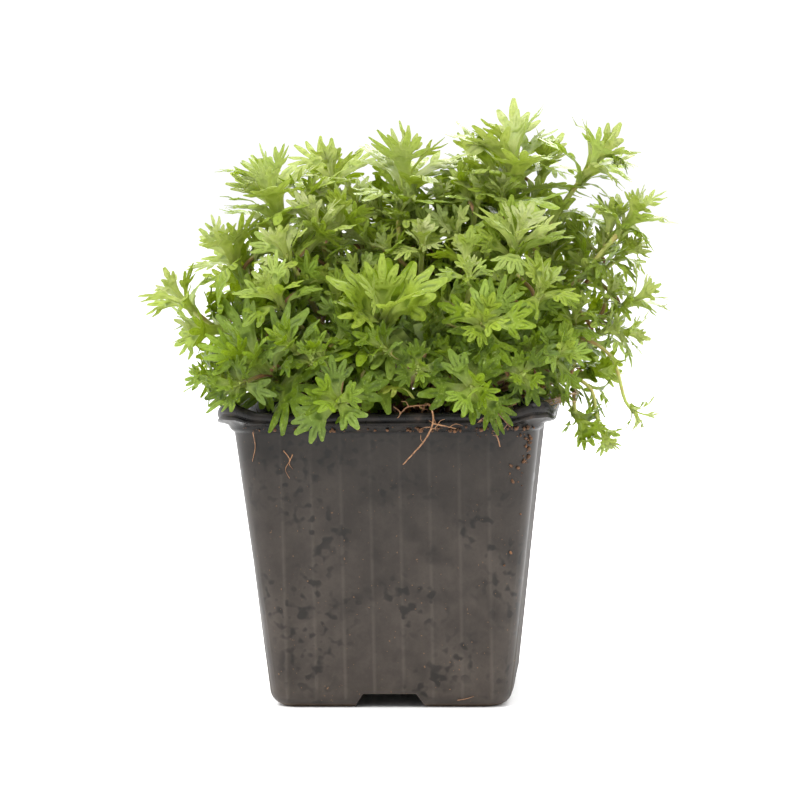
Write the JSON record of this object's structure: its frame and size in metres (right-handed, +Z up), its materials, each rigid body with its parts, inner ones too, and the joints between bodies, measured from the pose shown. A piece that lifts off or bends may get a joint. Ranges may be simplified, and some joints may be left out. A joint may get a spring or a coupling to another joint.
{
  "type": "potted mossy saxifrage",
  "caption": "Bushy cushion of lobed-leaf saxifrage shoots growing out of compost in a tapered square nursery pot with a rolled rim, ribbed walls and notched foot.",
  "frame": {"origin": "on the ground, under the middle of the whole plant's outline seen from above, which is 4.7 mm from the pot's own middle", "axes": "+Z up, -Y towards the viewer, who sees the pot's front wall, +X to the viewer's right; millimetre source, metres here"},
  "size_m": [0.1452, 0.122, 0.1609],
  "materials": {
    "pot": "thin black thermoformed plastic, satin, with a little peat dust and dried water marks",
    "compost": "damp dark peat, crumbly and fibrous",
    "foliage": "fresh green lobed leaves with pale veins and fine hairs, on yellow-green to reddish stems",
    "root": "thin fibrous brown roots"
  },
  "bodies": {
    "root": {"pot": "pot", "compost": "compost", "shoot_centre": "foliage", "shoot_lower_left": "foliage", "shoot_right_face": "foliage", "shoot_over_rim_right": "foliage", "shoot_over_rim_left": "foliage", "shoot_right_up": "foliage", "shoot_top_left": "foliage", "shoot_top_middle": "foliage", "shoot_top_right": "foliage", "shoot_far_right_top": "foliage", "shoot_right_fork": "foliage", "shoot_left_profile": "foliage", "shoot_left_hanging": "foliage", "shoot_left_upper": "foliage", "shoot_left_front": "foliage", "shoot_left_middle": "foliage", "shoot_upper_left": "foliage", "shoot_top_left_small": "foliage", "shoot_top_right_side": "foliage", "shoot_top_dark": "foliage", "shoot_pink_stem": "foliage", "shoot_small_front": "foliage", "shoot_right_middle": "foliage", "shoot_right_low": "foliage", "shoot_right_low_small": "foliage", "shoot_right_rim": "foliage", "shoot_right_thin_low": "foliage", "shoot_right_thin_end": "foliage", "shoot_right_thin_high": "foliage", "shoot_right_thin_back": "foliage", "shoot_trailing_long": "foliage", "shoot_trailing_short": "foliage", "shoot_upper_a": "foliage", "shoot_upper_b": "foliage", "shoot_upper_c": "foliage", "shoot_upper_d": "foliage", "shoot_upper_e": "foliage", "shoot_upper_f": "foliage", "shoot_front_fill": "foliage", "shoot_back_low_1": "foliage", "shoot_back_low_2": "foliage", "shoot_back_low_3": "foliage", "shoot_back_low_4": "foliage", "shoot_back_low_5": "foliage", "shoot_back_low_6": "foliage", "shoot_back_low_7": "foliage", "shoot_back_middle_1": "foliage", "shoot_back_middle_2": "foliage", "shoot_back_middle_3": "foliage", "shoot_back_middle_4": "foliage", "shoot_back_middle_5": "foliage", "shoot_back_middle_6": "foliage", "shoot_back_high_1": "foliage", "shoot_back_high_2": "foliage", "shoot_back_high_3": "foliage", "root_over_rim": "root", "root_tuft": "root", "root_straw": "root"}
  },
  "joints": []
}
